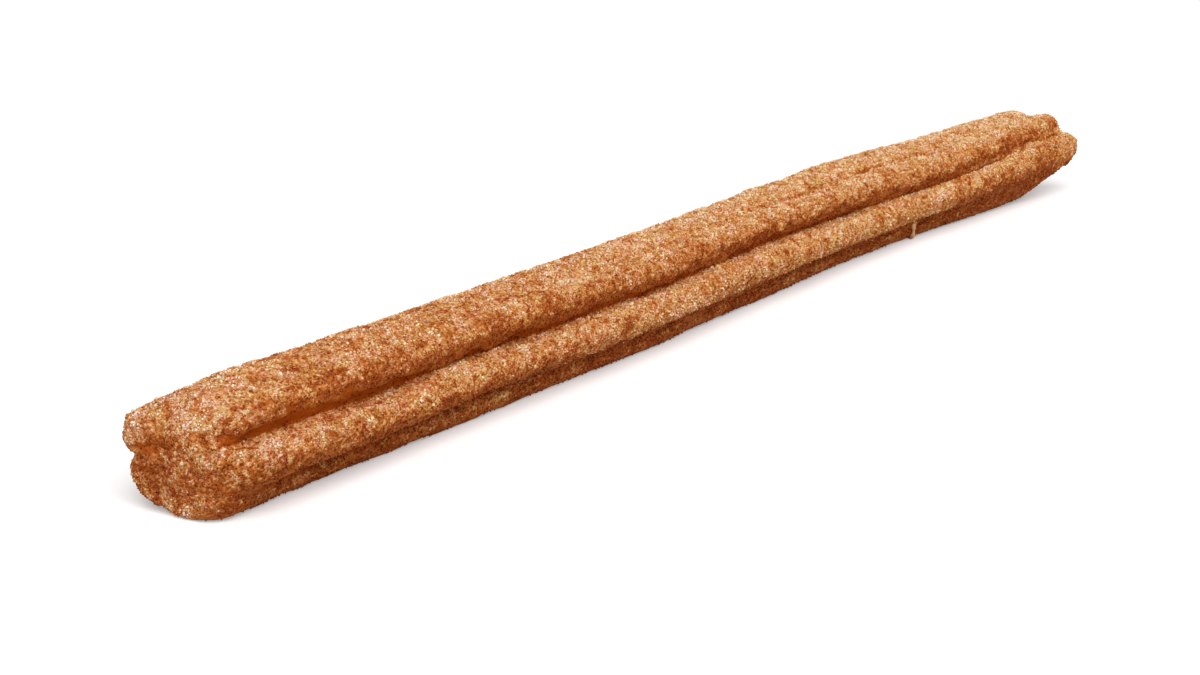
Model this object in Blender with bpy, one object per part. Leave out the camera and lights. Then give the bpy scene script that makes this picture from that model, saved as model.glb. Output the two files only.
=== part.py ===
"""A long churro: dough piped through a star nozzle, cut, fried and laid on two of its ridges.

Units are metres and +Z is up. +X runs along the stick from its near end to its far end, and the
origin is on the resting plane, under the middle of the stick's box.
Angles round the stick are in degrees, from the front (-Y) over the top (+Z) to the back.
"""

import math
from collections import namedtuple

import bmesh
import bpy
from mathutils import Vector, noise

# Driving dimensions
LENGTH = 0.341  # between the mean planes of its ends
RIDGE_RADIUS = 0.0138
REST_HEIGHT = 0.87 * RIDGE_RADIUS  # centre line above the resting plane

# Form of the lobes that the nozzle leaves between its grooves
LOBE_ROUNDNESS = 2.0  # exponent of a lobe's fall from ridge to groove
LOBE_FULLNESS = 0.12  # how far a lobe bulges sideways over its grooves
FAR_TURN = 9.0  # degrees that the grooves turn close to the far end
FAR_TURN_SPAN = 0.050

# Unevenness of hand-piped dough: amplitudes, and the length over which they change
RIDGE_WANDER = 0.045
GROOVE_WANDER = 4.0
SWELL_SPAN = 0.034
CRAG_HEIGHT = 0.00045
CRAG_SPAN = 0.0062

# Sideways bend of the stick: (share of its length, offset towards the back)
BEND = ((0.0, 0.0), (0.35, 0.0), (0.70, 0.0036), (1.0, -0.0004))

# Ends
FACE_DOME = 0.0009
RIM_STRETCH = 1.5  # length of a rim's rounding against its width
END_BLEND = 0.028  # length over which an end's own form fades into the stick
NEAR_MIDDLE = 0.0032  # how far the middle of the near end stands out beyond its plane
NEAR_SLANT = 0.0026  # how much further the back of the near end reaches than its middle
FAR_SLANT = 0.0010  # how much further the top of the far end reaches than its middle
NOTCH_SHARPNESS = 4  # exponent of a notch's fall to each side of its groove
NOTCH_FALL = 4  # exponent of a notch's fall towards the face's centre
STAR_MEAN = 0.87 * RIDGE_RADIUS  # radius of the round that the star fades to inside a face
FACE_CRAG = 0.0008

# Mesh density
POINTS_PER_LOBE = 8
FACE_RINGS = 5
RIM_RINGS = 4
BODY_RINGS = 92
END_RINGS = FACE_RINGS + RIM_RINGS
ROWS = 2 * END_RINGS + BODY_RINGS

# A groove: its angles at equal steps from the near end to the far end, its depth as a share of
# the ridge radius at the near end, the middle and the far end, how far it cuts back into each
# end's face, and for each end the share of its depth that is filled in and over what length.
Groove = namedtuple("Groove", "angles depths near_notch far_notch near_fill far_fill")
NOT_FILLED = (0.0, 0.01)
GROOVES = (
    # between front and upper front ridge
    Groove((20, 22, 21, 16, 29), (0.43, 0.38, 0.32), 0.0018, 0.0024, (0.50, 0.009), (0.62, 0.060)),
    # along the top
    Groove((72, 70, 67, 67, 72), (0.05, 0.13, 0.19), 0.0004, 0.0020, NOT_FILLED, NOT_FILLED),
    # upper back
    Groove((126, 128, 130, 132, 134), (0.06, 0.18, 0.17), 0.0003, 0.0016, NOT_FILLED, NOT_FILLED),
    # lower back
    Groove((184, 186, 188, 190, 192), (0.26, 0.24, 0.22), 0.0027, 0.0020, (0.10, 0.024), NOT_FILLED),
    # underneath
    Groove((253, 259, 262, 264, 266), (0.12, 0.17, 0.15), 0.0006, 0.0016, NOT_FILLED, NOT_FILLED),
    # lower front
    Groove((326, 329, 329, 329, 331), (0.22, 0.26, 0.24), 0.0004, 0.0004, (0.80, 0.024), (0.85, 0.060)),
)

# A ridge, from its groove of the same number to the next: its height as a share of the ridge
# radius at the near end, the middle and the far end, how far it reaches past each end's plane,
# and how wide its rim is rounded there.
Ridge = namedtuple("Ridge", "near middle far near_tip far_tip near_rim far_rim")
RIDGES = (
    Ridge(1.01, 1.01, 1.00, 0.0008, 0.0036, 0.0085, 0.0030),  # upper front
    Ridge(0.98, 1.02, 0.98, 0.0018, -0.0014, 0.0075, 0.0036),  # top
    Ridge(1.02, 0.99, 0.96, 0.0064, -0.0050, 0.0038, 0.0040),  # back
    Ridge(0.95, 1.05, 1.02, 0.0048, -0.0050, 0.0030, 0.0040),  # rear foot
    Ridge(1.06, 1.03, 0.98, 0.0042, -0.0090, 0.0034, 0.0080),  # front foot
    Ridge(1.06, 1.03, 0.99, -0.0002, 0.0121, 0.0042, 0.0034),  # front
)
LOBES = len(RIDGES)


def smooth_step(share):
    """0 to 1 with level ends, for a share that may lie outside 0 to 1."""
    share = min(max(share, 0.0), 1.0)
    return share * share * (3 - 2 * share)


def along(figures, share):
    """A value at a share of the stick's length, from figures at equal steps along it."""
    place = min(max(share, 0.0), 1.0) * (len(figures) - 1)
    step = min(int(place), len(figures) - 2)
    return figures[step] + (figures[step + 1] - figures[step]) * smooth_step(place - step)


def wander(distance, row, span):
    """Slow unevenness from -1 to 1 along the stick, different for each row."""
    return noise.noise(Vector((distance / span, 7.3 * row + 0.4, 1.7 * row)))


def bend_at(distance):
    """Offset of the centre line towards the back, at a distance from the near end."""
    share = min(max(distance / LENGTH, 0.0), 1.0)
    for (start, before), (stop, after) in zip(BEND, BEND[1:]):
        if share <= stop:
            return before + (after - before) * smooth_step((share - start) / (stop - start))
    return BEND[-1][1]


def groove_at(index, distance):
    """Angle and floor radius of a groove at a distance from the near end."""
    groove = GROOVES[index % LOBES]
    share = distance / LENGTH
    angle = along(groove.angles, share) + 360 * (index // LOBES)
    angle += FAR_TURN * smooth_step(1 - (LENGTH - distance) / FAR_TURN_SPAN)
    angle += GROOVE_WANDER * wander(distance, index % LOBES, SWELL_SPAN)
    depth = along(groove.depths, share)
    depth *= 1 + 0.35 * wander(distance, index % LOBES + 20, SWELL_SPAN)
    for (filled, span), from_end in ((groove.near_fill, distance), (groove.far_fill, LENGTH - distance)):
        depth *= 1 - filled * smooth_step(1 - from_end / span)
    return angle, RIDGE_RADIUS * (1 - depth)


def ridge_at(index, distance):
    """Radius of a ridge at a distance from the near end."""
    ridge = RIDGES[index]
    height = along((ridge.near, ridge.middle, ridge.far), distance / LENGTH)
    height += RIDGE_WANDER * wander(distance, index + 40, SWELL_SPAN)
    return RIDGE_RADIUS * height


def section_point(lobe, across, distance):
    """Angle in radians and radius of the section, for across from -1 to 1 over a lobe."""
    start, start_floor = groove_at(lobe, distance)
    end, end_floor = groove_at(lobe + 1, distance)
    ridge = ridge_at(lobe, distance)
    fuller = across + LOBE_FULLNESS * math.sin(math.pi * across) / math.pi
    angle = (start + end) / 2 + (end - start) / 2 * fuller
    floor = start_floor if across < 0 else end_floor
    floor = min(floor, ridge)
    return math.radians(angle), ridge - (ridge - floor) * abs(across) ** LOBE_ROUNDNESS


def over_lobe(lobe, across, figure):
    """A ridge's figure over its lobe, halfway to its neighbour's at the groove."""
    beside = figure(RIDGES[(lobe + (1 if across > 0 else -1)) % LOBES])
    own = figure(RIDGES[lobe])
    return own + (beside - own) / 2 * abs(across) ** LOBE_ROUNDNESS


def end_reach(lobe, across, share, near):
    """How far an end reaches beyond its plane, at a share of the way from its centre."""
    groove = GROOVES[(lobe + (1 if across > 0 else 0)) % LOBES]
    tip = over_lobe(lobe, across, lambda ridge: ridge.near_tip if near else ridge.far_tip)
    notch = groove.near_notch if near else groove.far_notch
    middle = NEAR_MIDDLE if near else 0.0
    return middle + (tip - middle) * share**2 - notch * share**NOTCH_FALL * abs(across) ** NOTCH_SHARPNESS


def end_profile(ring, rim):
    """(distance from the end's plane, share of the section's radius) of one ring of an end."""
    flat = 1 - rim / RIDGE_RADIUS
    if ring <= FACE_RINGS:
        share = flat * ring / FACE_RINGS
        return FACE_DOME * share**2, share
    turn = math.pi / 2 * (ring - FACE_RINGS) / RIM_RINGS
    share = 1 - (1 - flat) * (1 - math.sin(turn))
    return FACE_DOME * flat**2 + RIM_STRETCH * rim * (1 - math.cos(turn)), share


def ring_place(row, lobe, across):
    """(distance from the near end's plane, share of the section's radius) of a mesh row."""
    near_rim = over_lobe(lobe, across, lambda ridge: ridge.near_rim)
    far_rim = over_lobe(lobe, across, lambda ridge: ridge.far_rim)
    if row <= END_RINGS:
        return end_profile(row, near_rim)
    if row > END_RINGS + BODY_RINGS:
        inset, share = end_profile(ROWS + 1 - row, far_rim)
        return LENGTH - inset, share
    start = end_profile(END_RINGS, near_rim)[0]
    stop = LENGTH - end_profile(END_RINGS, far_rim)[0]
    return start + (stop - start) * (row - END_RINGS) / (BODY_RINGS + 1), 1.0


def crag(point, share):
    """Relief of the fried crust at a point, more on an end's face than on the sides."""
    fine = noise.noise(point / CRAG_SPAN)
    coarse = noise.noise(point / (2.7 * CRAG_SPAN) + Vector((9.1, 3.3, 5.7)))
    face = 1 - smooth_step(share)
    return (CRAG_HEIGHT + (FACE_CRAG - CRAG_HEIGHT) * face) * (0.6 * fine + coarse)


def surface_point(row, lobe, across):
    """Where the crust is, for a mesh row and a place across a lobe."""
    distance, share = ring_place(row, lobe, across)
    angle, radius = section_point(lobe, across, distance)
    radius = share * (STAR_MEAN + (radius - STAR_MEAN) * share)
    outward = Vector((0, -math.cos(angle), math.sin(angle)))
    offset = outward * radius
    near = distance < LENGTH / 2
    slant = NEAR_SLANT * offset.y if near else FAR_SLANT * offset.z
    reach = end_reach(lobe, across, share, near) + slant / RIDGE_RADIUS
    from_end = min(distance, LENGTH - distance)
    reach *= 1 - smooth_step(from_end / END_BLEND)
    x = distance - LENGTH / 2 + (-reach if near else reach)
    point = Vector((x, bend_at(distance), REST_HEIGHT)) + offset
    face_way = Vector((-1 if near else 1, 0, 0))
    return point + crag(point, share) * (outward * share + face_way * (1 - share))


def build_churro():
    """The whole stick as one closed mesh, from a sphere whose poles are the ends' centres."""
    segments = LOBES * POINTS_PER_LOBE
    mesh = bmesh.new()
    bmesh.ops.create_uvsphere(mesh, u_segments=segments, v_segments=ROWS + 1, radius=1)
    for vertex in mesh.verts:
        latitude = math.acos(max(-1.0, min(1.0, vertex.co.z)))
        row = round(latitude / math.pi * (ROWS + 1))
        column = round(math.atan2(vertex.co.y, vertex.co.x) / math.tau * segments) % segments
        lobe, place = divmod(column, POINTS_PER_LOBE)
        vertex.co = surface_point(row, lobe, 2 * place / POINTS_PER_LOBE - 1)
        vertex.co.z = max(vertex.co.z, 0.0)
    bmesh.ops.recalc_face_normals(mesh, faces=mesh.faces)
    centre_on_origin(mesh)
    data = bpy.data.meshes.new("churro")
    mesh.to_mesh(data)
    mesh.free()
    data.shade_smooth()
    return bpy.data.objects.new("churro", data)


def centre_on_origin(mesh):
    """Moves the mesh so that its box is centred in X and Y and stands on Z = 0."""
    lows = [min(vertex.co[axis] for vertex in mesh.verts) for axis in range(3)]
    highs = [max(vertex.co[axis] for vertex in mesh.verts) for axis in range(3)]
    shift = Vector((-(lows[0] + highs[0]) / 2, -(lows[1] + highs[1]) / 2, -lows[2]))
    for vertex in mesh.verts:
        vertex.co += shift


def crust_material():
    """Fried dough under cinnamon sugar."""
    material = bpy.data.materials.new("sugared crust")
    material.use_nodes = True
    shader = material.node_tree.nodes["Principled BSDF"]
    shader.inputs["Base Color"].default_value = (0.50, 0.22, 0.08, 1)
    shader.inputs["Roughness"].default_value = 0.75
    return material


def main():
    for item in list(bpy.data.objects):
        bpy.data.objects.remove(item)
    collection = bpy.data.collections.new("Churro")
    bpy.context.scene.collection.children.link(collection)
    churro = build_churro()
    churro.data.materials.append(crust_material())
    collection.objects.link(churro)


main()
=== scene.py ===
"""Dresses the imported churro: fried crust, cinnamon sugar and a wisp of dough, on a plain stage.

Units are metres and +Z is up. Everything stands where the plain solid does: +X runs along the
stick from its near end to its far end, and -Y is its front.
"""

import math
from typing import NamedTuple

import bmesh
import bpy
from bpy.props import FloatProperty, FloatVectorProperty, IntProperty, PointerProperty
from bpy.types import Operator, Panel, PropertyGroup
from mathutils import Matrix, Vector, noise
from mathutils.bvhtree import BVHTree


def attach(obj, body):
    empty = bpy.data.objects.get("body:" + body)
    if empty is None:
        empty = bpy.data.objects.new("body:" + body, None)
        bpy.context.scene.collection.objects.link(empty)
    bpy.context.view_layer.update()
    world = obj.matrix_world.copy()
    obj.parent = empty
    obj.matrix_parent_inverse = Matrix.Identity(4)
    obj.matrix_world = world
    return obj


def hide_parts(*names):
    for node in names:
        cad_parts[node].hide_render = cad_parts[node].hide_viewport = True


bl_info = {
    "name": "Sugared Churro",
    "version": (1, 0, 0),
    "blender": (4, 5, 0),
    "location": "3D View > Sidebar > Churro",
    "description": "Builds the crust, the cinnamon sugar and the stage of a churro",
    "category": "Add Mesh",
}

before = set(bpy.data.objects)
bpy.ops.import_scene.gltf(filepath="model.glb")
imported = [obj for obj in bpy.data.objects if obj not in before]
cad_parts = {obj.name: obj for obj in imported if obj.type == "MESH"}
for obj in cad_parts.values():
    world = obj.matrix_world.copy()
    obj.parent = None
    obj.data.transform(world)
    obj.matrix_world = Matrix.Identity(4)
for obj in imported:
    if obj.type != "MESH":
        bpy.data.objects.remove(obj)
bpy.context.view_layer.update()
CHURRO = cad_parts["churro"]
BODY = "root"

# Attributes that the crust hands on to its material and to the sugar
SUGAR_COVER = "sugar_cover"
HOLLOW = "hollow"
# The cinnamon attribute holds real cinnamon patches and spots, and also painted shade on undersides,
# flanks and hollows
CINNAMON_AND_SHADE = "cinnamon"
TINT = "tint"


# Node helpers

def find_socket(sockets, key):
    """A socket by its index, or the first one in use by its name."""
    if isinstance(key, int):
        return sockets[key]
    return next(item for item in sockets if item.name == key and item.enabled)


def add(tree, kind, inputs=None, **settings):
    """Adds a node with its settings, and gives its inputs values or links them to sockets."""
    made = tree.nodes.new(kind)
    for name, value in settings.items():
        setattr(made, name, value)
    for key, value in (inputs or {}).items():
        target = find_socket(made.inputs, key)
        if isinstance(value, bpy.types.NodeSocket):
            tree.links.new(value, target)
        else:
            target.default_value = value
    return made


def compute(tree, operation, *values, clamp=False):
    """The result of a Math node."""
    node = add(tree, "ShaderNodeMath", dict(enumerate(values)), operation=operation)
    node.use_clamp = clamp
    return node.outputs[0]


def product(tree, first, *others):
    """The product of sockets and numbers."""
    for value in others:
        first = compute(tree, "MULTIPLY", first, value)
    return first


def lessened(tree, share, loss):
    """1 where a share is 0, and less by a loss where it is 1."""
    return compute(tree, "MULTIPLY_ADD", share, -loss, 1.0)


def weighted_sum(tree, terms):
    """The sum of sockets, each times its own weight."""
    total = 0.0
    for value, weight in terms:
        total = compute(tree, "MULTIPLY_ADD", value, weight, total)
    return total


def compute_vector(tree, operation, first, second):
    """The result of a Vector Math node, a number or a vector as its operation has it."""
    node = add(tree, "ShaderNodeVectorMath", {0: first, 1: second}, operation=operation)
    return node.outputs["Value" if operation in ("DOT_PRODUCT", "DISTANCE") else "Vector"]


def scale_vector(tree, vector, scale):
    """A vector times a number."""
    node = add(tree, "ShaderNodeVectorMath", {0: vector, "Scale": scale}, operation="SCALE")
    return node.outputs["Vector"]


def split_vector(tree, vector):
    """The X, Y and Z of a vector."""
    return tuple(add(tree, "ShaderNodeSeparateXYZ", {0: vector}).outputs)


def remap(tree, value, low, high, to_low=0.0, to_high=1.0):
    """A value eased from one range to another and held at its ends."""
    inputs = {"Value": value, "From Min": low, "From Max": high, "To Min": to_low, "To Max": to_high}
    return add(tree, "ShaderNodeMapRange", inputs, interpolation_type="SMOOTHSTEP").outputs["Result"]


def remap_linear(tree, value, to_low, to_high):
    """A value from 0 to 1 brought to another range."""
    inputs = {"Value": value, "To Min": to_low, "To Max": to_high}
    return add(tree, "ShaderNodeMapRange", inputs).outputs["Result"]


def stretch(tree, value, rise, fall, fall_to=0.0):
    """1 between two soft edges, 0 before the first one and a low value after the second."""
    return product(tree, remap(tree, value, *rise), remap(tree, value, *fall, 1.0, fall_to))


def soft_noise(tree, vector, span, detail=2.0, roughness=0.5):
    """Noise from 0 to 1 whose features are about a span across."""
    scale = compute(tree, "DIVIDE", 1.0, span)
    inputs = {"Vector": vector, "Scale": scale, "Detail": detail, "Roughness": roughness}
    return add(tree, "ShaderNodeTexNoise", inputs).outputs[0]


def centred_noise(tree, vector, span, detail):
    """Noise from -2 to 2 whose features are about a span across."""
    rough = soft_noise(tree, vector, span, detail=detail, roughness=0.55)
    return compute(tree, "MULTIPLY_ADD", rough, 4.0, -2.0)


def random_draw(tree, low, high, seed):
    """A random number or vector for each point, whichever its limits are."""
    kind = "FLOAT_VECTOR" if isinstance(low, tuple) else "FLOAT"
    inputs = {"Min": low, "Max": high, "Seed": seed}
    node = add(tree, "FunctionNodeRandomValue", inputs, data_type=kind)
    return find_socket(node.outputs, "Value")


def store(tree, geometry, name, value, domain="POINT"):
    """Stores a value on the points or instances of a geometry and returns the geometry."""
    inputs = {"Geometry": geometry, "Name": name, "Value": value}
    node = add(
        tree, "GeometryNodeStoreNamedAttribute", inputs, data_type="FLOAT", domain=domain
    )
    return node.outputs["Geometry"]


def dress(tree, geometry, material, result):
    """Gives a geometry its material and makes it the result of its tree."""
    inputs = {"Geometry": geometry, "Material": material}
    dressed = add(tree, "GeometryNodeSetMaterial", inputs)
    tree.links.new(dressed.outputs[0], result.inputs[0])


def named(tree, name):
    """The value of a stored attribute."""
    node = add(tree, "GeometryNodeInputNamedAttribute", {"Name": name}, data_type="FLOAT")
    return find_socket(node.outputs, "Attribute")


def mix_colours(tree, share, first, second, blend_type="MIX"):
    """Two colours mixed by a share."""
    inputs = {"Factor": share, "A": first, "B": second}
    node = add(tree, "ShaderNodeMix", inputs, data_type="RGBA", blend_type=blend_type)
    return find_socket(node.outputs, "Result")


def ramp(tree, value, stops):
    """A colour from a ramp of (position, colour) stops."""
    node = add(tree, "ShaderNodeValToRGB", {0: value})
    elements = node.color_ramp.elements
    while len(elements) < len(stops):
        elements.new(1.0)
    for element, (position, colour) in zip(elements, stops):
        element.position = position
        element.color = (*colour, 1.0)
    return node.outputs["Color"]


def new_tree(name, inputs, outputs, kind="GeometryNodeTree"):
    """A node tree with named sockets, each (name, socket type, default or None)."""
    tree = bpy.data.node_groups.new(name, kind)
    for in_out, sockets in (("INPUT", inputs), ("OUTPUT", outputs)):
        for socket_name, socket_type, default in sockets:
            socket = tree.interface.new_socket(socket_name, in_out=in_out, socket_type=socket_type)
            if default is not None:
                socket.default_value = default
    return tree, tree.nodes.new("NodeGroupInput"), tree.nodes.new("NodeGroupOutput")


def new_material(name, roughness, specular=0.5):
    """A material with a plain Principled shader."""
    material = bpy.data.materials.new(name)
    material.use_nodes = True
    shader = material.node_tree.nodes["Principled BSDF"]
    shader.inputs["Roughness"].default_value = roughness
    shader.inputs["Specular IOR Level"].default_value = specular
    return material, material.node_tree, shader


# Piece helpers

def link_object(name, mesh):
    """A new object at the origin."""
    piece = bpy.data.objects.new(name, mesh)
    bpy.context.scene.collection.objects.link(piece)
    return piece


def apply_tree(piece, tree, values):
    """Runs a geometry tree on a piece and keeps the result as its plain mesh."""
    modifier = piece.modifiers.new(tree.name, "NODES")
    modifier.node_group = tree
    for socket in tree.interface.items_tree:
        if socket.item_type == "SOCKET" and socket.in_out == "INPUT" and socket.name in values:
            modifier[socket.identifier] = values[socket.name]
    depsgraph = bpy.context.evaluated_depsgraph_get()
    depsgraph.update()
    evaluated = piece.evaluated_get(depsgraph)
    made = bpy.data.meshes.new_from_object(
        evaluated, preserve_all_data_layers=True, depsgraph=depsgraph
    )
    piece.modifiers.remove(modifier)
    old = piece.data
    piece.data = made
    bpy.data.meshes.remove(old)
    if not made.polygons:
        raise RuntimeError(f"{piece.name} came out empty")
    made.name = piece.name
    return made


def keep_piece(piece):
    """Makes a piece part of the churro."""
    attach(piece, BODY)


# Shared effect: how cinnamon, frying and painted shade colour the stick

# Weights of the blotches and the flecks in the stain, and what is taken off their sum
BLOTCHES = 2.5
FLECKS = 2.5
STAIN_OFFSET = 2.53

# Tints of a place from unstained to fully stained, which darken painted shade as well as real stain
STAIN_TINTS = (
    (0.0, (1.00, 1.00, 1.00)),
    (0.35, (0.92, 0.74, 0.54)),
    (0.7, (0.78, 0.47, 0.27)),
    (1.0, (0.56, 0.24, 0.10)),
)

# Between which tints patches vary in hue, and how far off the blotches their noise is read
YELLOWER = (0.99, 1.04, 0.88, 1.0)
ROSIER = (1.0, 0.94, 1.05, 1.0)
HUE_SHIFT = (0.31, 0.17, 0.23)
WHITE = (1.0, 1.0, 1.0, 1.0)

# The stretch of X over which the paler, pinker near end passes into the rest, and its tint
PALE_END = (-0.175, -0.152)
PALE_END_TINT = (1.01, 1.09, 1.30, 1.0)

# The same for the warmer far end
WARM_END = (-0.040, 0.080)
WARM_END_TINT = (1.00, 0.985, 0.90, 1.0)


def cinnamon_stain():
    """Shader group: how cinnamon, frying and painted shade on undersides and hollows colour a place,
    more where sugar is thin.
    """
    name = "cinnamon stain"
    if name in bpy.data.node_groups:
        return bpy.data.node_groups[name]
    inputs = (
        ("Vector", "NodeSocketVector", None),
        ("Cinnamon", "NodeSocketFloat", 0.3),
        ("Blotch Span", "NodeSocketFloat", 0.0028),
        ("Fleck Span", "NodeSocketFloat", 0.0011),
    )
    outputs = (
        ("Stain", "NodeSocketFloat", None),
        ("Colour", "NodeSocketColor", None),
    )
    tree, source, result = new_tree(name, inputs, outputs, "ShaderNodeTree")
    value = source.outputs
    place = value["Vector"]
    blotches = soft_noise(tree, place, value["Blotch Span"], detail=2.0, roughness=0.6)
    flecks = soft_noise(tree, place, value["Fleck Span"], detail=1.0)
    stain = weighted_sum(tree, ((blotches, BLOTCHES), (flecks, FLECKS), (value["Cinnamon"], 1.0)))
    stain = compute(tree, "SUBTRACT", stain, STAIN_OFFSET, clamp=True)
    tree.links.new(stain, result.inputs["Stain"])
    darkened = ramp(tree, stain, STAIN_TINTS)
    shifted = compute_vector(tree, "ADD", place, HUE_SHIFT)
    hue = remap(tree, soft_noise(tree, shifted, value["Blotch Span"], detail=2.0), 0.32, 0.68)
    patchy = mix_colours(tree, hue, YELLOWER, ROSIER)
    along, _, _ = split_vector(tree, place)
    warmer = mix_colours(tree, remap(tree, along, *WARM_END), WHITE, WARM_END_TINT)
    paler = mix_colours(tree, remap(tree, along, *PALE_END, 1.0, 0.0), warmer, PALE_END_TINT)
    tinted = mix_colours(tree, 1.0, patchy, paler, "MULTIPLY")
    tree.links.new(mix_colours(tree, 1.0, darkened, tinted, "MULTIPLY"), result.inputs["Colour"])
    return tree


def add_stain(tree):
    """Places the shared stain in a material, reading the piece's own coordinates."""
    place = add(tree, "ShaderNodeTexCoord").outputs["Object"]
    cover = add(tree, "ShaderNodeAttribute", attribute_name=SUGAR_COVER).outputs["Fac"]
    # The cinnamon attribute read here also carries painted shade
    cinnamon = add(tree, "ShaderNodeAttribute", attribute_name=CINNAMON_AND_SHADE).outputs["Fac"]
    stain = add(tree, "ShaderNodeGroup", node_tree=cinnamon_stain())
    tree.links.new(place, stain.inputs["Vector"])
    tree.links.new(cinnamon, stain.inputs["Cinnamon"])
    return stain, place, cover


# Crust

# Places on the stick where the coat differs from its surroundings, each (place, radius)
BARE_SPOTS = (
    ((-0.1765, 0.0058, 0.0134), 0.0018),
    ((-0.1758, 0.0040, 0.0134), 0.0021),
    ((-0.1693, -0.0092, 0.0168), 0.0022),
    ((-0.1682, -0.0097, 0.0171), 0.0025),
    ((-0.1665, -0.0100, 0.0164), 0.0024),
    ((-0.1616, -0.0103, 0.0214), 0.0023),
    ((-0.1586, -0.0104, 0.0213), 0.0019),
    ((-0.1530, -0.0112, 0.0190), 0.0026),
    ((-0.1451, -0.0107, 0.0172), 0.0030),
    ((-0.1371, -0.0118, 0.0188), 0.0028),
)
CINNAMON_SPOTS = (
    ((-0.1726, 0.0022, 0.0209), 0.0026),
    ((-0.1704, -0.0113, 0.0117), 0.0028),
    ((-0.1670, -0.0142, 0.0093), 0.0026),
    ((-0.1722, -0.0056, 0.0172), 0.0034),
    ((-0.1671, -0.0139, 0.0128), 0.0028),
    ((-0.1722, -0.0091, 0.0054), 0.0036),
    ((-0.1684, -0.0089, 0.0192), 0.0026),
    ((-0.1754, 0.0045, 0.0187), 0.0024),
    ((-0.1411, -0.0046, 0.0245), 0.0028),
    ((-0.1280, -0.0030, 0.0251), 0.0034),
    ((-0.1408, -0.0153, 0.0124), 0.0040),
    ((-0.1394, -0.0108, 0.0221), 0.0046),
    ((-0.1289, -0.0112, 0.0215), 0.0044),
    ((-0.0898, -0.0103, 0.0221), 0.0046),
    ((-0.0720, -0.0102, 0.0227), 0.0046),
    ((0.0060, -0.0097, 0.0149), 0.0044),
    ((0.0201, -0.0118, 0.0133), 0.0044),
    ((-0.1222, -0.0149, 0.0120), 0.0046),
    ((-0.1101, -0.0146, 0.0128), 0.0044),
    ((-0.0966, -0.0115, 0.0150), 0.0040),
    ((-0.0891, -0.0108, 0.0150), 0.0040),
    ((-0.0755, -0.0147, 0.0125), 0.0042),
    ((-0.0640, -0.0150, 0.0111), 0.0036),
    ((-0.0482, -0.0148, 0.0120), 0.0036),
    ((-0.0496, -0.0097, 0.0226), 0.0034),
    ((-0.0092, -0.0109, 0.0149), 0.0034),
    ((0.0678, -0.0110, 0.0117), 0.0044),
    ((0.1232, -0.0123, 0.0138), 0.0036),
    ((0.0253, -0.0083, 0.0153), 0.0040),
    ((0.0975, -0.0069, 0.0050), 0.0030),
    ((0.1366, -0.0091, 0.0213), 0.0040),
    ((0.1151, -0.0129, 0.0130), 0.0026),
    ((0.1313, -0.0134, 0.0136), 0.0020),
    ((0.1527, -0.0139, 0.0152), 0.0024),
)
SUGAR_SPOTS = (
    ((-0.1720, -0.0030, 0.0204), 0.0022),
    ((-0.1711, -0.0051, 0.0198), 0.0022),
    ((-0.1687, -0.0086, 0.0192), 0.0016),
    ((-0.1671, -0.0098, 0.0192), 0.0016),
    ((-0.1676, -0.0122, 0.0142), 0.0020),
    ((-0.1643, -0.0097, 0.0152), 0.0024),
    ((-0.1698, -0.0096, 0.0146), 0.0022),
    ((-0.1368, -0.0103, 0.0225), 0.0020),
    ((-0.1335, -0.0111, 0.0147), 0.0028),
    ((-0.1601, -0.0130, 0.0146), 0.0028),
    ((-0.1347, -0.0095, 0.0231), 0.0026),
    ((-0.1284, -0.0097, 0.0230), 0.0024),
    ((-0.1188, -0.0027, 0.0251), 0.0030),
    ((-0.1191, -0.0081, 0.0238), 0.0028),
    ((-0.0335, -0.0134, 0.0147), 0.0014),
    ((-0.1718, -0.0095, 0.0037), 0.0018),
    ((0.1624, 0.0002, 0.0246), 0.0030),
)

# Places where a groove is partly filled, so that it is shallower and paler there
FILLED_SPOTS = (
    ((-0.1059, -0.0107, 0.0178), 0.0080),
    ((-0.0902, -0.0112, 0.0189), 0.0070),
    ((-0.0067, -0.0104, 0.0186), 0.0070),
    ((0.1241, -0.0098, 0.0171), 0.0110),
    ((0.1523, -0.0107, 0.0203), 0.0060),
    ((-0.0438, -0.0120, 0.0075), 0.0100),
    ((-0.0640, -0.0120, 0.0075), 0.0080),
    ((0.0887, -0.0095, 0.0068), 0.0090),
    ((0.1030, -0.0100, 0.0075), 0.0080),
)

# How far the edges of the spots wander, and how fine the noise is that moves them
SPOT_WOBBLE = 0.0042
SPOT_NOISE_SCALE = 520.0

# Each pair from here on is a soft edge: where a change starts and where it is complete

# The stretch of X where the wall of the main groove is bare, and up to which height its floor is
BARE_WALL_FROM = (-0.171, -0.166)
BARE_WALL_TO = (-0.138, -0.112)
BARE_FLOOR_UNDER = (0.0160, 0.0178)

# The X from which the grooves grow pale towards the far end, and from which they are palest
PALE_FROM = (0.015, 0.105)
PALEST_FROM = (0.095, 0.122)

# The stretch of X where the lower front groove is pale, and the height at which this ends
PALE_LOW_FROM = (-0.082, -0.058)
PALE_LOW_TO = (0.104, 0.120)
PALE_LOW_UNDER = (0.0122, 0.0150)

# The height of the top groove, and the stretch of X where it is shallow and pale
TOP_GROOVE_OVER = (0.0205, 0.0225)
TOP_PALE_FROM = (-0.090, -0.060)
TOP_PALE_TO = (0.010, 0.045)

# The heights between which painted shade darkens the shoulder of the upper front ridge
SHOULDER_FROM = (0.0180, 0.0202)
SHOULDER_TO = (0.0230, 0.0244)

# The heights of the side of the front ridge that is kept free of painted shade, and of the foot under
# it, where painted shade is added
RIDGE_SIDE_OVER = (0.0066, 0.0084)
FOOT_UNDER = (0.0050, 0.0075)

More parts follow.
